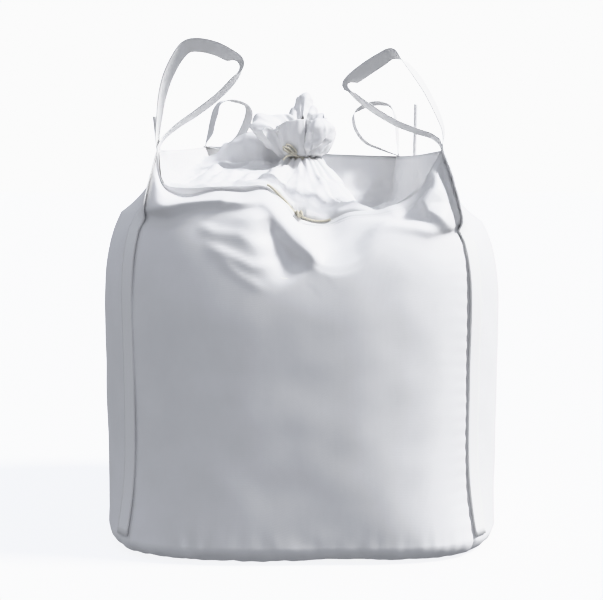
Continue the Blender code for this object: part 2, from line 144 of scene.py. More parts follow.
TOP_FOLDS = metres((
    (-14, 30, 22, ((-16, -85), (-34, -180), (-36, -330), (-30, -370))),
    (13, 30, 26, ((-45, -80), (-71, -150), (-82, -250), (-88, -360))),
    (9, 14, 16, ((66, -110), (52, -190), (24, -320), (4, -380))),
    (18, 26, 50, ((66, -60), (96, -150), (135, -300), (150, -380))),
    (20, 16, 22, ((60, -40), (100, -5), (130, 22), (160, 50))),
    (-10, 7, 7, ((-205, -8), (-168, -20), (-132, -12))),
    (12, 12, 30, ((-270, -330), (-248, -170), (-225, -20), (-209, 40))),
    (-20, 12, 12, ((-20, -372), (-6, -368), (8, -368))),
    (10, 14, 14, ((-240, -330), (-218, -220), (-200, -120))),
    (10, 14, 14, ((-205, -340), (-186, -220), (-172, -120))),
    (9, 14, 14, ((-168, -350), (-146, -230), (-130, -120))),
    (-11, 8, 8, ((-328, -370), (-305, -200), (-275, -110), (-240, -50))),
    (18, 16, 22, ((-60, -2), (-120, 32), (-180, 64), (-230, 92))),
    (-15, 13, 13, ((-70, -14), (-135, 6), (-205, 30))),
))

# The top cloth inside the walls, by direction round the neck in degrees: its heights at the four
# reaches after the rim's. A reach is a share of the way from the rim to the neck, and SKIRT_SHARES
# says how far up the cloth it is.
SKIRT_REACH = (0.0, 0.05, 0.35, 0.65, 0.88, 0.955, 1.0)
SKIRT_SHARES = (0.0, 0.12, 0.4, 0.66, 0.88, 0.96, 1.0)
SKIRT = (
    (0, (0.9, 0.83, 0.85, 0.965)), (30, (0.9, 0.84, 0.87, 0.975)),
    (60, (0.905, 0.85, 0.88, 0.97)), (100, (0.93, 0.9, 0.92, 0.98)),
    (122, (0.965, 0.975, 1.02, 1.01)), (140, (0.995, 1.042, 1.072, 1.022)),
    (162, (0.985, 0.998, 1.008, 0.996)), (185, (0.975, 0.975, 0.98, 0.99)),
    (205, (0.955, 0.955, 0.968, 0.985)), (230, (0.938, 0.938, 0.955, 0.982)),
    (250, (0.948, 0.955, 0.968, 0.99)), (258, (0.938, 0.95, 0.965, 0.992)),
    (265, (0.895, 0.93, 0.957, 0.994)), (272, (0.872, 0.918, 0.952, 0.994)),
    (280, (0.868, 0.91, 0.948, 0.994)), (291, (0.884, 0.902, 0.94, 0.992)),
    (300, (0.872, 0.862, 0.908, 0.986)), (315, (0.88, 0.845, 0.885, 0.978)),
    (330, (0.88, 0.835, 0.87, 0.975)),
)

# The cloth's rim keeps this far inside the walls and below the hem, and the share of the cloth
# below the tie is the skirt, the rest the mouth
RIM_INSET = 0.0035
RIM_DROP = 0.0015
SKIRT_PART = 0.6

# The gathered mouth above the tie, by direction: its reach from the neck's middle, the height of
# that reach, and its top
MOUTH = (
    (0, (0.088, 1.07, 1.128)), (22, (0.08, 1.085, 1.136)), (42, (0.056, 1.1, 1.126)),
    (60, (0.08, 1.125, 1.155)), (78, (0.086, 1.132, 1.184)), (95, (0.082, 1.13, 1.174)),
    (112, (0.076, 1.115, 1.15)), (130, (0.048, 1.09, 1.122)), (152, (0.085, 1.095, 1.128)),
    (172, (0.132, 1.098, 1.128)), (190, (0.146, 1.088, 1.108)), (205, (0.122, 1.08, 1.104)),
    (214, (0.096, 1.085, 1.098)), (222, (0.092, 1.094, 1.102)), (240, (0.078, 1.104, 1.108)),
    (260, (0.07, 1.108, 1.112)), (276, (0.064, 1.108, 1.113)), (284, (0.05, 1.096, 1.116)),
    (292, (0.08, 1.07, 1.112)), (305, (0.094, 1.06, 1.112)), (320, (0.096, 1.058, 1.116)),
    (340, (0.092, 1.062, 1.124)),
)

# The mouth's profile has its points at these shares of the way from the tie to the inside, and a
# smooth flat flap faces this way
MOUTH_SHARES = (0.0, 0.1, 0.4, 0.64, 0.82, 1.0)
FLAP_TURN = math.radians(256)

# Folds of the mouth: their lines are given in degrees round the neck and shares of the way from
# the tie to the inside, and made metres by the mouth's reach and length
MOUTH_REACH = 0.09
MOUTH_LENGTH = 0.17
GATHER_DEPTH = 0.004
MOUTH_FOLDS = [(height, left, right, [(math.radians(turn) * MOUTH_REACH, way * MOUTH_LENGTH)
                                      for turn, way in line]) for height, left, right, line in (
    (0.007, 0.008, 0.005, ((282, 0.14), (292, 0.24), (304, 0.4), (314, 0.54))),
    (-0.012, 0.006, 0.006, ((290, 0.08), (302, 0.22), (314, 0.38), (324, 0.52))),
    (0.006, 0.006, 0.005, ((304, 0.14), (314, 0.26), (326, 0.42), (334, 0.52))),
    (-0.011, 0.006, 0.005, ((308, 0.06), (322, 0.24), (334, 0.4), (342, 0.5))),
)]

# The neck tie: its turns round the neck with their steps and start, the bow before them and the
# tail after them, in millimetres. The front tie: where along the hem it starts and is knotted, how
# far it runs before and after the knot, and the knot's steps, radius, length and place on the hem.
TIE_TURNS = 2.2
TIE_STEPS = 110
TIE_START = 1.75
TIE_BOW = metres((
    (-20, -92, 1024), (-32, -100, 1030), (-44, -104, 1040), (-40, -104, 1048), (-28, -102, 1044),
    (-18, -100, 1034), (-14, -98, 1026), (-22, -102, 1022), (-36, -108, 1026), (-48, -110, 1034),
    (-50, -110, 1042), (-36, -108, 1038), (-24, -104, 1028), (-14, -96, 1018), (-8, -84, 1012),
))
TIE_TAIL = metres((
    (-12, -90, 1016), (-26, -104, 1020), (-40, -112, 1016), (-50, -116, 1006),
))
HEM_TIE_START = 0.385
HEM_TIE_KNOT = 0.5
HEM_TIE_BEFORE = 0.115
HEM_TIE_AFTER = 0.1
KNOT_STEPS = 24
KNOT_RADIUS = 0.007
KNOT_LENGTH = 0.018
KNOT_PLACE = Vector((0, -0.006, 0.004))

# Middle lines of the lifting loops above the hem, from one leg to the other: x, y and z in
# millimetres, and how far the strap's width turns out of the line of sight, in degrees
LOOP_PATHS = {
    "lift_loop_front_left": (
        (-365, -352, 1070, -8), (-358, -362, 1120, -14), (-349, -372, 1170, -22),
        (-333, -381, 1219, -29), (-308, -385, 1265, -34), (-285, -385, 1289, -42),
        (-256, -383, 1293, -46), (-216, -375, 1285, -47), (-181, -355, 1269, -44),
        (-161, -335, 1256, -28), (-158, -318, 1237, 4), (-173, -303, 1212, 16),
        (-212, -293, 1172, 18), (-269, -297, 1128, 18), (-319, -312, 1093, 13),
        (-351, -328, 1063, 6),
    ),
    "lift_loop_front_right": (
        (359, -360, 1078, -14), (344, -370, 1120, -21), (311, -380, 1182, -24),
        (279, -385, 1227, -22), (251, -382, 1257, -6), (226, -376, 1272, 34),
        (199, -368, 1258, 48), (160, -352, 1233, 50), (128, -332, 1209, 42),
        (117, -318, 1197, 12), (129, -305, 1179, -10), (171, -296, 1145, -17),
        (238, -296, 1104, -18), (291, -308, 1082, -17), (331, -325, 1068, -13),
        (349, -338, 1053, -6),
    ),
    "lift_loop_back_left": (
        (-278, 338, 1081, 24), (-270, 335, 1117, 26), (-258, 330, 1153, 28),
        (-240, 318, 1175, 12), (-208, 312, 1180, -8), (-168, 312, 1168, -12),
        (-158, 317, 1146, -30), (-171, 328, 1102, -36), (-196, 338, 1064, -30),
        (-240, 344, 1040, -14),
    ),
    "lift_loop_back_right": (
        (292, 338, 1066, -14), (289, 340, 1114, -14), (278, 335, 1150, -8), (259, 328, 1168, 8),
        (216, 318, 1172, 16), (170, 310, 1154, 12), (157, 312, 1132, -6), (165, 318, 1093, -9),
        (195, 328, 1056, -9), (245, 338, 1034, -6),
    ),
}

# The panel that each loop is sewn to, and whether at its far seam
LOOP_SIDES = {
    "lift_loop_front_left": (3, True),
    "lift_loop_front_right": (1, False),
    "lift_loop_back_right": (1, True),
    "lift_loop_back_left": (3, False),
}

# The webbing's middle is this share of a panel's width from the seam, its sewn end this share of
# the way up the panel, and its clearance from the cloth. Steps of the sewn and the free part.
WEB_SHARE = 0.027
WEB_END = 0.168
WEB_GAP = 0.0004
SEWN_STEPS = 60
FREE_STEPS = 150

# How far the slack walls above the fill sag inwards, how wide a strip of the side panels, as a
# share of their width, bends to the front panel's edge, and in which height that sets in
WALL_SAG = 0.022
SEAM_BLEND = 0.11
BLEND_RISE = 0.04
EDGE_STEPS = 200

# How far the panels pull in at their corner seams, in the order of TIPS, and in how wide a strip,
# the puckers' share, length and reach, and a panel's width there
SEAM_DIPS = (0.0006, 0.0030, 0.0030, 0.0030)
DIP_WIDTH = 0.006
PUCKER_SHARE = 0.3
PUCKER_LENGTH = 0.036
PUCKER_REACH = 0.030
WRAPPED_WIDTH = 0.92

# The hem's doubled band stands proud, and its row of stitches lies this share of its width down
HEM_RAISE = 0.0012
STITCH_DIP = 0.0016
STITCH_WIDTH = 0.0022
STITCH_PLACE = 0.86

# Low waves of the filled cloth and wrinkles at the base: height and size
BROAD_WAVES = (0.0045, 0.24)
SMALL_WAVES = (0.0016, 0.09)
BASE_WRINKLES = (0.0035, 0.06)

# Grids of the cloth pieces, and how much the columns crowd at the panels' seams
FRONT_GRID = (220, 180)
SIDE_GRID = (160, 150)
TOP_GRID = (300, 130)
SEAM_CROWD = 0.6

# Stiff tape ends that stand up outside the hem: node, foot and tip, thickness and bend
HEM_TAPES = (
    ("hem_tape_right", (0.3215, 0.060, 1.010), (0.3240, 0.060, 1.163)),
    ("hem_tape_left", (-0.3670, -0.290, 1.008), (-0.3790, -0.290, 1.119)),
)
TAPE_THICK = 0.0012
TAPE_BEND = 0.006

# The heap of prills: how far inside the panels it stays, its floor and top, how far up the body it
# reaches and how much less in front, its grid, and its rows' shares in base, sides and cap
HEAP_INSET = 0.986
HEAP_FLOOR = 0.004
HEAP_TOP = 0.800
HEAP_SHOULDER = 0.955
HEAP_FRONT_DROP = 0.09
HEAP_COLUMNS = 96
HEAP_ROWS = 40
BASE_ROWS = 0.25
SIDE_ROWS = 0.45
CAP_ROWS = 0.3

# Where the key light stands, seen from the bag: to the right, a little in front, 44 degrees up
SUN_DIRECTION = Vector((0.715, -0.085, 0.694))

# Bands 3 mm wide, for tapes and yarns: a Wave texture's band is 0.314 m over its scale wide
WEAVE = {"wave_type": "BANDS", "wave_profile": "SIN", "in_Scale": 104.0}


def linear(hex_colour):
    """An sRGB hex colour as linear red, green and blue."""
    parts = (int(hex_colour[i:i + 2], 16) / 255.0 for i in (0, 2, 4))
    return tuple(c / 12.92 if c <= 0.04045 else ((c + 0.055) / 1.055) ** 2.4 for c in parts)


def length_prop(name, text, default):
    return FloatProperty(name=name, description=text, default=default, min=0.0,
                         subtype="DISTANCE", unit="LENGTH")


def colour_prop(name, text, default):
    return FloatVectorProperty(name=name, description=text, default=linear(default), min=0.0,
                               max=1.0, size=3, subtype="COLOR")


class BulkBagSizes(bpy.types.PropertyGroup):
    """Sizes of the cloth, webbing and cords."""
    cloth: length_prop("Cloth thickness", "Thickness of the woven cloth as drawn", 0.0012)
    hem: length_prop("Hem width", "Width of the turned and sewn hem", 0.026)
    web_width: length_prop("Webbing width", "Width of the lifting webbing", 0.045)
    web_thick: length_prop("Webbing thickness", "Thickness of the lifting webbing", 0.0018)
    tape: length_prop("Hem tape width", "Width of the stiff tape ends at the hem", 0.0105)
    cord: length_prop("Cord diameter", "Diameter of the tie cords", 0.006)


class BulkBagColours(bpy.types.PropertyGroup):
    """Colours of the cloth, webbing, cord and stage."""
    cloth: colour_prop("Cloth", "Woven polypropylene cloth", "E2E2E3")
    webbing: colour_prop("Webbing", "Lifting webbing", "E2E2E2")
    cord: colour_prop("Cord", "Tie cord", "C2BEB2")
    prill: colour_prop("Prills", "Urea prills", "F2F1EC")
    floor: colour_prop("Floor", "Studio floor", "F4F4F4")


def add_node(tree, kind, links=None, into=None, **settings):
    """Adds a shader node, sets its properties and inputs, links its inputs to these sockets, and
    its first output into a socket."""
    node = tree.nodes.new("ShaderNode" + kind)
    for key, value in settings.items():
        if key.startswith("in_"):
            slot = key[3:].replace("_", " ")
            slot = int(slot) if slot.isdigit() else slot
            node.inputs[slot].default_value = value
        else:
            setattr(node, key, value)
    for key, socket in (links or {}).items():
        tree.links.new(socket, node.inputs[key])
    if into:
        tree.links.new(node.outputs[0], into)
    return node


def new_material(name, colour, roughness):
    """A material of this colour and roughness, with its tree and its shader."""
    material = bpy.data.materials.new(name)
    material.use_nodes = True
    shader = material.node_tree.nodes["Principled BSDF"]
    shader.inputs["Base Color"].default_value = (*colour, 1.0)
    shader.inputs["Roughness"].default_value = roughness
    return material, material.node_tree, shader


def add_bump(tree, shader, height, strength, distance, **settings):
    """Bumps a shader's surface by the height from a socket."""
    add_node(tree, "Bump", {"Height": height}, shader.inputs["Normal"], in_Strength=strength,
             in_Distance=distance, **settings)


def woven_cloth(colours):
    """Woven polypropylene: flat tapes over and under, slightly rippled, with a slight plastic sheen
    and a faint grime. Real tapes are 2.5 mm wide, and each wave is one tape, drawn 3 mm wide."""
    material, tree, shader = new_material("woven_polypropylene_cloth", colours.cloth, 0.55)
    uv = add_node(tree, "UVMap", uv_map="cloth").outputs["UV"]
    warp, weft = (add_node(tree, "TexWave", {"Vector": uv}, bands_direction=way, in_Distortion=0.3,
                           in_Detail=1.0, in_Detail_Scale=2.0, **WEAVE) for way in "XY")
    weave = add_node(tree, "Math", {0: warp.outputs["Fac"], 1: weft.outputs["Fac"]},
                     operation="ADD")
    stretch = add_node(tree, "Mapping", {"Vector": uv}, in_Scale=(3.0, 60.0, 1.0))
    ripples = add_node(tree, "TexNoise", {"Vector": stretch.outputs["Vector"]}, in_Scale=1.0,
                       in_Detail=3.0, in_Roughness=0.55)
    height = add_node(tree, "Math", {0: ripples.outputs[0], 2: weave.outputs["Value"]},
                      operation="MULTIPLY_ADD", in_1=1.6)
    add_bump(tree, shader, height.outputs["Value"], 0.10, 0.0004)
    blotch = add_node(tree, "TexNoise", {"Vector": uv}, in_Scale=7.0, in_Detail=4.0,
                      in_Roughness=0.6)
    tint = add_node(tree, "ValToRGB", {"Fac": blotch.outputs["Fac"]},
                    shader.inputs["Base Color"])
    grimy, clean = tint.color_ramp.elements
    grimy.position, grimy.color = 0.30, (*(c * 0.94 for c in colours.cloth), 1.0)
    clean.position, clean.color = 0.70, (*colours.cloth, 1.0)
    return material


def lifting_webbing(colours):
    """Polypropylene webbing: thick yarns in a twill, so fine slanting ribs run across it."""
    material, tree, shader = new_material("polypropylene_webbing", colours.webbing, 0.5)
    uv = add_node(tree, "UVMap", uv_map="cloth").outputs["UV"]
    slant = add_node(tree, "Mapping", {"Vector": uv}, in_Rotation=(0.0, 0.0, math.radians(32)))
    ribs = add_node(tree, "TexWave", {"Vector": slant.outputs["Vector"]},
                    bands_direction="Y", in_Distortion=0.2, **WEAVE)
    yarns = add_node(tree, "TexWave", {"Vector": uv}, bands_direction="X", **WEAVE)
    height = add_node(tree, "Math", {0: ribs.outputs["Fac"], 1: yarns.outputs["Fac"]},
                      operation="ADD")
    add_bump(tree, shader, height.outputs["Value"], 0.12, 0.0004)
    return material


def tie_cord(colours):
    """Twisted cotton tie cord: matte and cream, with a fine fuzz."""
    material, tree, shader = new_material("twisted_cotton_cord", colours.cord, 0.85)
    place = add_node(tree, "TexCoord")
    fuzz = add_node(tree, "TexNoise", {"Vector": place.outputs["Object"]}, in_Scale=900.0,
                    in_Detail=3.0)
    add_bump(tree, shader, fuzz.outputs["Fac"], 0.5, 0.0006)
    return material


def urea_prills(colours):
    """Urea prills: white round grains of about 3 mm with a waxy skin."""
    material, tree, shader = new_material("urea_prills", colours.prill, 0.45)
    place = add_node(tree, "TexCoord")
    grains = add_node(tree, "TexVoronoi", {"Vector": place.outputs["Object"]}, in_Scale=330.0)
    add_bump(tree, shader, grains.outputs["Distance"], 0.8, 0.0012, invert=True)
    return material


def studio_floor(colours):
    """Matte painted floor, lit from behind like a light table, so that shadows stay faint."""
    material, tree, shader = new_material("matte_studio_paint", colours.floor, 0.9)
    shader.inputs["Emission Color"].default_value = (1.0, 1.0, 1.0, 1.0)
    shader.inputs["Emission Strength"].default_value = 0.9
    place = add_node(tree, "TexCoord")
    mottle = add_node(tree, "TexNoise", {"Vector": place.outputs["Object"]}, in_Scale=60.0)
    add_bump(tree, shader, mottle.outputs["Fac"], 0.05, 0.0005)
    return material


FINISHES = {
    "woven_cloth": woven_cloth,
    "webbing": lifting_webbing,
    "tie_cord": tie_cord,
    "urea_prills": urea_prills,
    "floor": studio_floor,
}
made = {}


def finish(slot):
    """The material of a slot, made once."""
    if slot not in made:
        made[slot] = FINISHES[slot](bpy.context.scene.bulk_bag_colours)
    return made[slot]


def track(stations, values, place):
    """A smooth curve through values at uneven stations."""
    last = len(stations) - 1
    place = min(max(place, stations[0]), stations[last])
    index = 0
    while index < last - 1 and place > stations[index + 1]:
        index += 1
    span = stations[index + 1] - stations[index]
    t = (place - stations[index]) / span

    def slope(at):
        low, high = max(at - 1, 0), min(at + 1, last)
        return (values[high] - values[low]) / (stations[high] - stations[low])

    start, end = values[index], values[index + 1]
    out, back = slope(index) * span, slope(index + 1) * span
    return (start * (2 * t ** 3 - 3 * t ** 2 + 1) + out * (t ** 3 - 2 * t ** 2 + t)
            + end * (3 * t ** 2 - 2 * t ** 3) + back * (t ** 3 - t ** 2))


def smooth_step(low, high, value):
    """Rises smoothly from 0 at low to 1 at high."""
    t = min(max((value - low) / (high - low), 0.0), 1.0)
    return t * t * (3.0 - 2.0 * t)


def ripple(x, y, z, size):
    """Smooth noise between about -1 and 1 with features of this size."""
    return noise.noise(Vector((x, y, z)) / size)


def crumple(point, size):
    """Sharp creases between soft hollows, as in crumpled cloth, between about -1 and 1."""
    sharp = 1.0 - 3.0 * abs(ripple(point.x, point.y + 0.4, point.z, size))
    return 0.5 * sharp + 0.8 * ripple(point.x + 0.7, point.y, point.z, size * 1.6)


def squareness_at(height, top):
    """How square the section is: square at the sewn base, rounder at the belly."""
    if height < BELLY_Z:
        fall = ((BELLY_Z - height) / BELLY_Z) ** BASE_ROUNDING
        return SQUARE_BELLY + (SQUARE_BASE - SQUARE_BELLY) * fall
    rise = ((height - BELLY_Z) / (top - BELLY_Z)) ** SHOULDER_ROUNDING
    return SQUARE_BELLY + (SQUARE_SHOULDER - SQUARE_BELLY) * rise


def section_radius(half_width, angle, squareness):
    """How far the rounded square of this half width reaches in a direction."""
    across = abs(math.cos(angle)) ** squareness + abs(math.sin(angle)) ** squareness
    return half_width / across ** (1.0 / squareness)


def shoulder_height(angle):
    towards_left_front = 0.5 + 0.5 * math.cos(angle - SEAM_ANGLE)
    return SHOULDER_Z + SHOULDER_RISE_LEFT * towards_left_front ** 4


def half_width_at(height, top):
    """Half the body's width, tucked in below and above the belly."""
    if height < BELLY_Z:
        return BELLY_HALF - BASE_TUCK * ((BELLY_Z - height) / BELLY_Z) ** 2
    return BELLY_HALF - SHOULDER_TUCK * ((height - BELLY_Z) / (top - BELLY_Z)) ** 4


def side_angle(side, share):
    return SEAM_ANGLE + (side + share) * 0.5 * math.pi


def polar(radius, angle, height):
    return Vector((radius * math.cos(angle), radius * math.sin(angle), height))


def body_point(angle, rise):
    """A point on the filled body, for rise from 0 at the base's edge to 1 at the shoulder."""
    top = shoulder_height(angle)
    if rise <= EDGE_SHARE:
        turn = 0.5 * math.pi * rise / EDGE_SHARE
        height = EDGE_HEIGHT * (1.0 - math.cos(turn))
        half_width = half_width_at(EDGE_HEIGHT, top) - EDGE_DEPTH * (1.0 - math.sin(turn))
    else:
        height = EDGE_HEIGHT + (top - EDGE_HEIGHT) * (rise - EDGE_SHARE) / (1.0 - EDGE_SHARE)
        half_width = half_width_at(height, top)
    return polar(section_radius(half_width, angle, squareness_at(height, top)), angle, height)


def hem_line(side, share):
    """The free top edge of a panel."""
    if side == 0:
        return track(FRONT_STATIONS, FRONT_LINES[-1], share)
    start, end = TIPS[side], TIPS[(side + 1) % 4]
    return start.lerp(end, share) - Vector((0, 0, HEM_SAG * 4 * share * (1 - share)))


def wall_point(side, share, up):
    """A plain panel's outside: up the filled body, then up the slack wall. Beside the front panel
    it bends to that panel's edge."""
    angle = side_angle(side, share)
    if up <= BODY_SHARE:
        point = body_point(angle, up / BODY_SHARE)
    else:
        rise = (up - BODY_SHARE) / (1.0 - BODY_SHARE)
        sag = WALL_SAG * math.sin(math.pi * rise) * math.sin(math.pi * share)
        slack = body_point(angle, 1.0).lerp(hem_line(side, share), rise)
        point = slack - polar(sag, angle, 0.5 * sag)
    edge = share if side == 1 else 1.0 - share
    if side == 2 or edge > SEAM_BLEND or point.z < FRONT_EDGES[side][0].z:
        return point
    line = FRONT_EDGES[side]
    seam = min(line, key=lambda place: abs(place.z - point.z))
    pull = smooth_step(SEAM_BLEND, 0.0, edge)
    pull *= smooth_step(line[0].z, line[0].z + BLEND_RISE, point.z)
    return point.lerp(Vector((seam.x, seam.y, point.z)), pull)


def front_point(share, up):
    """The front panel's outside: the filled body, then over the crest and ledge to the hem."""
    angle = side_angle(0, share)
    crest, ledge, lip, hem = (track(FRONT_STATIONS, line, share) for line in FRONT_LINES)
    top = shoulder_height(angle)
    reach = (crest.z - FRONT_DROP - EDGE_HEIGHT) / (top - EDGE_HEIGHT)
    start = EDGE_SHARE + (1.0 - EDGE_SHARE) * reach
    if up <= FRONT_START:
        return body_point(angle, start * up / FRONT_START)
    below = body_point(angle, start)
    near = body_point(angle, start * (1 + FRONT_STEP))
    rise = (up - FRONT_START) / (1.0 - FRONT_START)
    return track(FRONT_RISE, [below, near.lerp(crest, FRONT_LEAD), crest, ledge, lip, hem], rise)


# The front panel's two edges above the filled body, which the side panels follow
FRONT_EDGES = {
    side: [front_point(share, FRONT_START + (1.0 - FRONT_START) * step / EDGE_STEPS)
           for step in range(EDGE_STEPS + 1)]
    for side, share in ((1, 1.0), (3, 0.0))
}


def fold_relief(folds, x, z):
    """Height of these folds at a place on the cloth; each fades at the ends of its line."""
    total = 0.0
    for height, left, right, line in folds:
        best, side, along = 1e9, 1.0, 0.0
        spans = len(line) - 1
        for index in range(spans):
            (x0, z0), (x1, z1) = line[index], line[index + 1]
            dx, dz = x1 - x0, z1 - z0
            t = min(max(((x - x0) * dx + (z - z0) * dz) / (dx * dx + dz * dz), 0.0), 1.0)
            ox, oz = x - x0 - dx * t, z - z0 - dz * t
            distance = math.hypot(ox, oz)
            if distance < best:
                best = distance
                side = dx * oz - dz * ox
                along = (index + t) / spans
        width = right if side > 0 else left
        fade = smooth_step(-0.05, 0.25, along)
        total += height * math.exp(-(best / width) ** 2) * fade * smooth_step(1.05, 0.7, along)
    return total


def seam_relief(side, share, point):
    """The panels pull in at their corner seams, in small puckers."""
    edge = min(share, 1.0 - share)
    dip = SEAM_DIPS[side if share < 0.5 else (side + 1) % 4]
    distance = edge * WRAPPED_WIDTH
    angle = point.z * 2 * math.pi / PUCKER_LENGTH + 2.0 * ripple(point.x, point.y, point.z, 0.12)
    pucker = PUCKER_SHARE * dip * math.sin(angle) * math.exp(-distance / PUCKER_REACH)
    return pucker - dip * math.exp(-(distance / DIP_WIDTH) ** 2)


def hem_relief(below):
    """The hem, so far below its edge: a doubled band, drawn in along its row of stitches."""
    hem = bpy.context.scene.bulk_bag_sizes.hem
    band = HEM_RAISE * smooth_step(hem + 0.003, hem - 0.001, below)
    return band - STITCH_DIP * math.exp(-((below - STITCH_PLACE * hem) / STITCH_WIDTH) ** 2)


def cloth_relief(side, share, up, point):
    """A panel's low waves, its wrinkles at the base, its seams and its hem."""
    (broad, broad_size), (small, small_size) = BROAD_WAVES, SMALL_WAVES
    low = broad * ripple(point.x, point.y, point.z, broad_size)
    low += small * ripple(point.x, point.y, point.z + 3, small_size)
    wrinkle, size = BASE_WRINKLES
    wrinkle *= math.exp(-(point.z / size) ** 2)
    wrinkle *= ripple(point.x * 2.2, point.y * 2.2, point.z + 7, size)
    rise = FRONT_LENGTH / (1.0 - FRONT_START) if side == 0 else SLACK_LENGTH / (1.0 - BODY_SHARE)
    low = low * smooth_step(1.0, 0.93, up) + wrinkle
    return low + seam_relief(side, share, point) + hem_relief((1.0 - up) * rise)


def cloth_piece(name, grid, flat, place, relief=None, slot="woven_cloth", crowd=0.0):
    """A sheet of cloth: a fine grid laid on a form, then raised along its own normals. With crowd
    its columns stand closer together at its two side edges."""
    cloth = bmesh.new()
    uv = cloth.loops.layers.uv.new("cloth")
    bmesh.ops.create_grid(cloth, x_segments=grid[0], y_segments=grid[1], size=0.5)
    shares = [(vert.co.x + 0.5, vert.co.y + 0.5) for vert in cloth.verts]
    shares = [(across - crowd * math.sin(2 * math.pi * across) / (2 * math.pi), up)
              for across, up in shares]
    for face in cloth.faces:
        for corner in face.loops:
            across, up = shares[corner.vert.index]
            corner[uv].uv = (across * flat[0], up * flat[1])
    for vert, (across, up) in zip(cloth.verts, shares):
        vert.co = place(across, up)
    cloth.normal_update()
    for vert, (across, up) in zip(cloth.verts, shares):
        if relief:
            vert.co = vert.co + vert.normal * relief(across, up, vert.co)
        vert.co.z = max(vert.co.z, 0.0)
    bmesh.ops.remove_doubles(cloth, verts=cloth.verts, dist=1e-6)
    return add_piece(name, cloth, slot)


def add_object(name, data):
    thing = bpy.data.objects.new(name, data)
    bpy.context.scene.collection.objects.link(thing)
    return thing


def add_smooth(name, mesh, slot):
    """Makes a mesh a piece of the bag, in its own finish and on the bag's one body."""
    mesh.shade_smooth()
    mesh.materials.clear()
    mesh.materials.append(finish(slot))
    piece = add_object(name, mesh)
    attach(piece, "root")
    return piece


def add_piece(name, shape, slot):
    mesh = bpy.data.meshes.new(name)
    shape.to_mesh(mesh)
    shape.free()
    return add_smooth(name, mesh, slot)


def thicken(piece, thickness, offset=-1.0):
    solid = piece.modifiers.new("thickness", "SOLIDIFY")
    solid.thickness = thickness
    solid.offset = offset
    solid.use_rim = True


class OBJECT_OT_bulk_bag_panels(bpy.types.Operator):
    """Makes the base and the four side panels of woven cloth"""
    bl_idname = "object.bulk_bag_panels"
    bl_label = "Side and base panels"

    def execute(self, context):
        sizes = context.scene.bulk_bag_sizes
        front = cloth_piece("front_cloth", FRONT_GRID, (0.90, 1.10), front_point,
                            self.front_relief, crowd=SEAM_CROWD)
        thicken(front, sizes.cloth)
        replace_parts(front, "front_panel")
        for side, name in ((1, "right"), (2, "back"), (3, "left")):
            panel = cloth_piece(
                name + "_cloth", SIDE_GRID, (0.90, 1.10),
                partial(wall_point, side), partial(cloth_relief, side), crowd=SEAM_CROWD)
            thicken(panel, sizes.cloth)
            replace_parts(panel, name + "_panel")
        self.base(sizes)
        return {"FINISHED"}

    @staticmethod
    def front_relief(across, up, point):
        folds = fold_relief(FRONT_FOLDS, point.x, point.z) if up > 0.5 else 0.0
        folds *= smooth_step(0.0, 0.03, min(across, 1.0 - across))
        return folds + cloth_relief(0, across, up, point)

    @staticmethod
    def base(sizes):
        cloth = bmesh.new()
        uv = cloth.loops.layers.uv.new("cloth")
        bmesh.ops.create_circle(cloth, cap_ends=True, segments=192, radius=1.0)
        for vert in cloth.verts:
            angle = math.atan2(vert.co.y, vert.co.x)
            vert.co = body_point(angle, 0.0) * (1 - 0.0015)
        for _ in range(5):
            bmesh.ops.inset_region(cloth, faces=cloth.faces[:1], thickness=0.07,
                                   use_even_offset=True)
        for face in cloth.faces:
            for corner in face.loops:
                corner[uv].uv = corner.vert.co.xy
        bmesh.ops.recalc_face_normals(cloth, faces=cloth.faces)
        if cloth.faces[0].normal.z > 0:
            bmesh.ops.reverse_faces(cloth, faces=cloth.faces)
        base = add_piece("base_cloth", cloth, "woven_cloth")
        thicken(base, sizes.cloth)
        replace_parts(base, "base_panel")


class OBJECT_OT_bulk_bag_fill(bpy.types.Operator):
    """Makes the heap of prills inside: it fills the panels and lies under the top cloth"""
    bl_idname = "object.bulk_bag_fill"
    bl_label = "Urea fill"

    def execute(self, context):
        heap = bmesh.new()
        bmesh.ops.create_uvsphere(heap, u_segments=HEAP_COLUMNS, v_segments=HEAP_ROWS, radius=1.0)
        for vert in heap.verts:
            turn = math.atan2(vert.co.y, vert.co.x)
            row = math.acos(max(-1.0, min(1.0, -vert.co.z))) / math.pi
            vert.co = self.place(turn, row)
        bmesh.ops.recalc_face_normals(heap, faces=heap.faces)
        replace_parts(add_piece("urea_heap", heap, "urea_prills"), "urea_fill")
        return {"FINISHED"}

    @staticmethod
    def place(turn, row):
        """A point of the heap, for a row from 0 at the base's middle to 1 at the top's."""
        front = max(0.0, -math.sin(turn))
        shoulder = HEAP_SHOULDER - HEAP_FRONT_DROP * front ** 2
        if row < BASE_ROWS:
            rim = body_point(turn, 0.0)
            reach = row / BASE_ROWS * HEAP_INSET
            return Vector((rim.x * reach, rim.y * reach, HEAP_FLOOR))
        if row < BASE_ROWS + SIDE_ROWS:
            point = body_point(turn, shoulder * (row - BASE_ROWS) / SIDE_ROWS)
            return Vector((point.x * HEAP_INSET, point.y * HEAP_INSET, max(point.z, HEAP_FLOOR)))
        edge = body_point(turn, shoulder)
        reach = (1.0 - row) / CAP_ROWS
        height = edge.z + (HEAP_TOP - edge.z) * (1.0 - reach ** 2)
        return Vector((edge.x * HEAP_INSET * reach, edge.y * HEAP_INSET * reach, height))


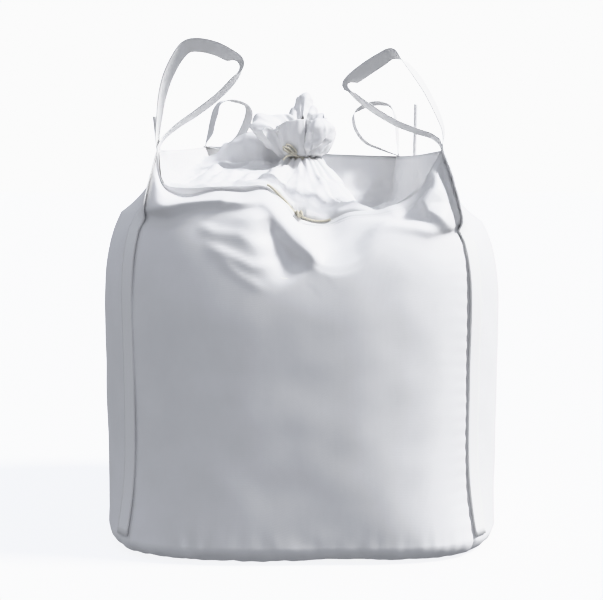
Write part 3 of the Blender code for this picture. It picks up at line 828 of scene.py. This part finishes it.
def rim_points(count=96):
    """The hem seen from above: directions round the neck, and the point in each."""
    points = []
    for side in range(4):
        for step in range(count):
            point = hem_line(side, step / count)
            inwards = Vector((point.x, point.y, 0)).normalized() * RIM_INSET
            point = point - inwards - Vector((0, 0, RIM_DROP))
            turn = math.atan2(point.y - NECK.y, point.x - NECK.x) % (2 * math.pi)
            points.append((turn, point))
    points.sort(key=lambda item: item[0])
    (first, start), (last, end) = points[0], points[-1]
    return tuple(zip((last - 2 * math.pi, end), *points, (first + 2 * math.pi, start)))


def by_direction(table, direction):
    """Values of a table by direction, smoothly between its rows and round the circle."""
    degrees = math.degrees(direction) % 360.0
    rows = [(table[-1][0] - 360.0, table[-1][1]), *table, (table[0][0] + 360.0, table[0][1])]
    index = max(number for number, row in enumerate(rows) if row[0] <= degrees)
    (low, first), (high, second) = rows[index], rows[index + 1]
    blend = smooth_step(low, high, degrees)
    return [a + (b - a) * blend for a, b in zip(first, second)]


class OBJECT_OT_bulk_bag_top(bpy.types.Operator):
    """Makes the top cloth: inside the walls, up to the tied neck and out into the mouth"""
    bl_idname = "object.bulk_bag_top"
    bl_label = "Gathered top cloth"

    def execute(self, context):
        sizes = context.scene.bulk_bag_sizes
        self.turns, self.places = rim_points()
        self.rows = {}
        top = cloth_piece("top_cloth", TOP_GRID, (2.8, 0.75), self.place, self.relief)
        thicken(top, sizes.cloth)
        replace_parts(top, "top_cover")
        return {"FINISHED"}

    def spoke(self, turn):
        """The skirt's and the mouth's lines in one direction, worked out once."""
        key = round(turn, 6)
        if key not in self.rows:
            rim = track(self.turns, self.places, turn % (2 * math.pi))
            heights = [rim.z] + by_direction(SKIRT, turn) + [NECK.z - 0.001, NECK.z - 0.004]
            neck = polar(NECK_RADIUS, turn, 0.0) + NECK
            skirt = []
            for reach, height in zip(SKIRT_REACH, heights):
                point = rim.lerp(neck, reach)
                point.z = height
                skirt.append(point)
            reach, height, top = by_direction(MOUTH, turn)
            flare = NECK_RADIUS + 0.2 * (reach - NECK_RADIUS) + 0.009
            profile = ((NECK_RADIUS, NECK.z + 0.003), (flare, NECK.z + 0.011), (reach, height),
                       (reach * 0.85, top), (reach * 0.55, top - 0.012),
                       (reach * 0.25, top - 0.055))
            mouth = [polar(out, turn, up) + Vector((NECK.x, NECK.y, 0.0)) for out, up in profile]
            self.rows[key] = (skirt, mouth)
        return self.rows[key]

    def place(self, across, up):
        turn = across * 2 * math.pi if across < 1.0 else 0.0
        skirt, mouth = self.spoke(turn)
        if up <= SKIRT_PART:
            return track(SKIRT_SHARES, skirt, up / SKIRT_PART)
        return track(MOUTH_SHARES, mouth, (up - SKIRT_PART) / (1.0 - SKIRT_PART))

    @classmethod
    def relief(cls, across, up, point):
        turn = across * 2 * math.pi
        if up <= SKIRT_PART:
            return cls.skirt_relief(turn, up / SKIRT_PART, point)
        return cls.mouth_relief(turn, (up - SKIRT_PART) / (1.0 - SKIRT_PART), point)

    @staticmethod
    def skirt_relief(turn, share, point):
        """Gathers that deepen towards the neck, slack waves, folds and creases; the rim stays."""
        gather = smooth_step(0.35, 0.95, share) * (1.0 - 0.5 * smooth_step(0.93, 1.0, share))
        wave = math.sin(15 * turn + 2.5 * math.sin(3 * turn)) + 0.5 * math.sin(27 * turn + 1.3)
        slack = 0.006 * ripple(point.x, point.y, point.z + 1, 0.16)
        hold = smooth_step(0.0, 0.1, share)
        folds = fold_relief(TOP_FOLDS, point.x, point.y) * smooth_step(1.0, 0.93, share)
        creases = 0.016 * crumple(point, 0.12) + 0.007 * crumple(point, 0.05)
        creases *= smooth_step(1.0, 0.8, share)
        return GATHER_DEPTH * gather * wave + (slack * (1 - gather) + folds + creases) * hold

    @staticmethod
    def mouth_relief(turn, share, point):
        """Flutes just above the tie, crumpled lobes and folds; the flap stays flat."""
        gather = math.sin(math.pi * min(share * 1.05, 1.0)) ** 0.7
        flute = math.sin(17 * turn + 3.0 * math.sin(2 * turn)) * math.exp(-share / 0.14)
        flap = 1.0 - 0.9 * smooth_step(0.75, 0.35, abs(turn - FLAP_TURN))
        rough = 0.018 * crumple(point, 0.09) + 0.008 * crumple(point, 0.04)
        folds = fold_relief(MOUTH_FOLDS, turn * MOUTH_REACH, share * MOUTH_LENGTH)
        return GATHER_DEPTH * flute * flap + rough * gather * flap + folds


def cord_mesh(name, points, radius):
    """A round cord along points."""
    line = bpy.data.curves.new(name, "CURVE")
    line.dimensions = "3D"
    line.bevel_depth = radius
    line.bevel_resolution = 3
    line.use_fill_caps = True
    spline = line.splines.new("POLY")
    spline.points.add(len(points) - 1)
    for place, point in zip(spline.points, points):
        place.co = (*point, 1.0)
    maker = add_object(name, line)
    graph = bpy.context.evaluated_depsgraph_get()
    mesh = bpy.data.meshes.new_from_object(maker.evaluated_get(graph))
    bpy.data.objects.remove(maker, do_unlink=True)
    return add_smooth(name, mesh, "tie_cord")


class OBJECT_OT_bulk_bag_ties(bpy.types.Operator):
    """Makes the cords that tie the neck and the front hem"""
    bl_idname = "object.bulk_bag_ties"
    bl_label = "Tie cords"

    def execute(self, context):
        radius = context.scene.bulk_bag_sizes.cord / 2
        points = [Vector(place) for place in TIE_BOW]
        for step in range(TIE_STEPS + 1):
            share = step / TIE_STEPS
            turn = 2 * math.pi * TIE_TURNS * share - TIE_START
            wobble = 0.0012 * math.sin(7 * turn)
            points.append(polar(NECK_RADIUS + radius + wobble, turn, (0.5 - share) * 0.008) + NECK)
        points += [Vector(place) for place in TIE_TAIL]
        neck = cord_mesh("neck_cord", points, radius)
        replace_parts(neck, "neck_tie")
        points = [self.on_hem(HEM_TIE_START + HEM_TIE_BEFORE * step / KNOT_STEPS)
                  for step in range(KNOT_STEPS)]
        knot = self.on_hem(HEM_TIE_KNOT) + KNOT_PLACE
        for step in range(KNOT_STEPS + 1):
            turn = 4 * math.pi * step / KNOT_STEPS - 0.5 * math.pi
            along = KNOT_LENGTH * (step / KNOT_STEPS - 0.5)
            points.append(knot + Vector((along, KNOT_RADIUS * math.cos(turn),
                                         KNOT_RADIUS * math.sin(turn))))
        points += [self.on_hem(HEM_TIE_KNOT + HEM_TIE_AFTER * step / 16) for step in range(1, 17)]
        front = cord_mesh("front_cord", points, radius)
        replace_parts(front, "front_tie")
        return {"FINISHED"}

    @staticmethod
    def on_hem(share):
        """A place on the front hem, on top of its folds."""
        edge = hem_line(0, share)
        raised = fold_relief(FRONT_FOLDS, edge.x, edge.z) + 0.005
        return edge + Vector((0.0, -0.55, 0.83)) * raised


def panel_frame(side, share, up):
    """A point on a plain panel with the way across it and the way out of it."""
    step = 0.01
    across = (wall_point(side, share + step, up) - wall_point(side, share - step, up)).normalized()
    high = wall_point(side, share, min(up + step, 1.0))
    low = wall_point(side, share, max(up - step, 0.0))
    out = across.cross((high - low).normalized()).normalized()
    return wall_point(side, share, up), across, out


class OBJECT_OT_bulk_bag_loops(bpy.types.Operator):
    """Makes the four lifting loops of webbing, sewn down the side panels"""
    bl_idname = "object.bulk_bag_loops"
    bl_label = "Lifting loops"

    def execute(self, context):
        for name in LOOP_PATHS:
            self.loop(name, context.scene.bulk_bag_sizes)
        return {"FINISHED"}

    def loop(self, name, sizes):
        """One loop: up the panel, along its free path, and down the panel over its own start."""
        side, at_end = LOOP_SIDES[name]
        share = 1.0 - WEB_SHARE if at_end else WEB_SHARE
        lift = sizes.web_thick / 2 + WEB_GAP

        def on_panel(up, layers):
            here, across, out = panel_frame(side, share, up)
            middle = here + out * (lift + layers * sizes.web_thick)
            return middle, across * (1.0 if across.y > 0 else -1.0)

        first = [on_panel(WEB_END + (1 - WEB_END) * step / SEWN_STEPS, 0)
                 for step in range(SEWN_STEPS + 1)]
        last = [on_panel(1.0 - (1 - WEB_END) * step / SEWN_STEPS, 1)
                for step in range(SEWN_STEPS + 1)]
        path = [first[-1][0]] + [Vector(metres(row[:3])) for row in LOOP_PATHS[name]] + [last[0][0]]
        turns = [0.0] + [math.radians(row[3]) for row in LOOP_PATHS[name]] + [0.0]
        marks = [0.0]
        for before, after in zip(path, path[1:]):
            marks.append(marks[-1] + (after - before).length)
        free = []
        for step in range(1, FREE_STEPS):
            along = marks[-1] * step / FREE_STEPS
            here = track(marks, path, along)
            ahead, behind = track(marks, path, along + 0.002), track(marks, path, along - 0.002)
            run = (ahead - behind).normalized()
            level = (Vector((0, 1, 0)) - run * run.y).normalized()
            turn = track(marks, turns, along)
            free.append((here, level * math.cos(turn) + run.cross(level) * math.sin(turn)))
        self.ribbon(name + "_webbing", first + free + last, sizes, name)

    @staticmethod
    def ribbon(piece_name, stations, sizes, node):
        """A strap along stations, each a place and the way across it."""
        count = len(stations) - 1
        lengths = [0.0]
        for index in range(count):
            lengths.append(lengths[-1] + (stations[index + 1][0] - stations[index][0]).length)

        def place(across, up):
            index = min(int(round(up * count)), count)
            middle, wide = stations[index]
            run = (stations[min(index + 1, count)][0] - stations[max(index - 1, 0)][0]).normalized()
            wide = (wide - run * wide.dot(run)).normalized()
            return middle + wide * sizes.web_width * (across - 0.5)

        strap = cloth_piece(piece_name, (8, count), (sizes.web_width, lengths[-1]), place,
                            slot="webbing")
        thicken(strap, sizes.web_thick, 0.0)
        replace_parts(strap, node)


class OBJECT_OT_bulk_bag_tapes(bpy.types.Operator):
    """Makes the two stiff tape ends that stand up from the hem"""
    bl_idname = "object.bulk_bag_tapes"
    bl_label = "Hem tapes"

    def execute(self, context):
        for name, foot, tip in HEM_TAPES:
            self.tape(name, Vector(foot), Vector(tip), context.scene.bulk_bag_sizes)
        return {"FINISHED"}

    @staticmethod
    def tape(name, foot, tip, sizes):
        length = (tip - foot).length

        def place(across, up):
            bend = Vector((0.0, TAPE_BEND * up * up, 0.0))
            return foot.lerp(tip, up) + bend + Vector((sizes.tape * (across - 0.5), 0.0, 0.0))

        tape = cloth_piece(name + "_end", (2, 30), (sizes.tape, length), place, slot="webbing")
        thicken(tape, TAPE_THICK, 0.0)
        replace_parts(tape, name)


class OBJECT_OT_bulk_bag_stage(bpy.types.Operator):
    """Makes the floor, the lights and the camera"""
    bl_idname = "object.bulk_bag_stage"
    bl_label = "Stage"

    def execute(self, context):
        scene = context.scene
        ground = bmesh.new()
        bmesh.ops.create_grid(ground, x_segments=2, y_segments=2, size=30.0)
        mesh = bpy.data.meshes.new("studio_floor")
        ground.to_mesh(mesh)
        ground.free()
        mesh.materials.append(finish("floor"))
        floor = add_object("studio_floor", mesh)
        floor.visible_diffuse = False
        floor.visible_glossy = False
        sun = bpy.data.lights.new("key_light", "SUN")
        sun.energy = 4.6
        sun.angle = math.radians(12.0)
        sun.color = (1.0, 0.985, 0.955)
        holder = add_object("key_light", sun)
        holder.location = SUN_DIRECTION * 6.0
        holder.rotation_euler = SUN_DIRECTION.to_track_quat("Z", "Y").to_euler()
        world = bpy.data.worlds.new("studio_world")
        world.use_nodes = True
        tree = world.node_tree
        sky = tree.nodes["Background"]
        sky.inputs["Color"].default_value = (0.95, 0.98, 1.05, 1.0)
        place = add_node(tree, "TexCoord")
        height = add_node(tree, "SeparateXYZ", {"Vector": place.outputs["Object"]})
        # The sky is brighter higher up, and the camera sees a plain backdrop in its place
        add_node(tree, "Math", {0: height.outputs["Z"]}, sky.inputs["Strength"],
                 operation="MULTIPLY_ADD", in_1=0.30, in_2=0.56)
        backdrop = add_node(tree, "Background", in_Color=(1.0, 1.0, 1.0, 1.0),
                            in_Strength=2.2)
        seen = add_node(tree, "LightPath")
        add_node(tree, "MixShader",
                 {0: seen.outputs["Is Camera Ray"], 1: sky.outputs["Background"],
                  2: backdrop.outputs["Background"]}, tree.nodes["World Output"].inputs["Surface"])
        scene.world = world
        scene.view_settings.view_transform = "Khronos PBR Neutral"
        camera = bpy.data.cameras.new("photo_camera")
        camera.lens = 80.6
        camera.sensor_width = 36.0
        camera.clip_end = 200.0
        holder = add_object("photo_camera", camera)
        holder.location = (0.0, -3.8, 1.03)
        holder.rotation_euler = (math.radians(90 - 6.3), 0.0, 0.0)
        scene.camera = holder
        return {"FINISHED"}


OPERATORS = (
    OBJECT_OT_bulk_bag_panels,
    OBJECT_OT_bulk_bag_fill,
    OBJECT_OT_bulk_bag_top,
    OBJECT_OT_bulk_bag_ties,
    OBJECT_OT_bulk_bag_loops,
    OBJECT_OT_bulk_bag_tapes,
    OBJECT_OT_bulk_bag_stage,
)


class VIEW3D_PT_bulk_bag(bpy.types.Panel):
    """Lists the steps that build the bulk bag"""
    bl_idname = "VIEW3D_PT_bulk_bag"
    bl_label = "Bulk bag of urea"
    bl_space_type = "VIEW_3D"
    bl_region_type = "UI"
    bl_category = "Bulk Bag"

    def draw(self, context):
        for group in (context.scene.bulk_bag_sizes, context.scene.bulk_bag_colours):
            column = self.layout.column()
            for name in group.__annotations__:
                column.prop(group, name)
        for operator in OPERATORS:
            self.layout.operator(operator.bl_idname)


CLASSES = (BulkBagSizes, BulkBagColours, *OPERATORS, VIEW3D_PT_bulk_bag)


def register():
    for kind in CLASSES:
        bpy.utils.register_class(kind)
    bpy.types.Scene.bulk_bag_sizes = PointerProperty(type=BulkBagSizes)
    bpy.types.Scene.bulk_bag_colours = PointerProperty(type=BulkBagColours)


def unregister():
    del bpy.types.Scene.bulk_bag_colours
    del bpy.types.Scene.bulk_bag_sizes
    for kind in reversed(CLASSES):
        bpy.utils.unregister_class(kind)


def main():
    register()
    bpy.ops.object.bulk_bag_panels()
    bpy.ops.object.bulk_bag_fill()
    bpy.ops.object.bulk_bag_top()
    bpy.ops.object.bulk_bag_ties()
    bpy.ops.object.bulk_bag_loops()
    bpy.ops.object.bulk_bag_tapes()
    bpy.ops.object.bulk_bag_stage()


if __name__ == "__main__":
    main()
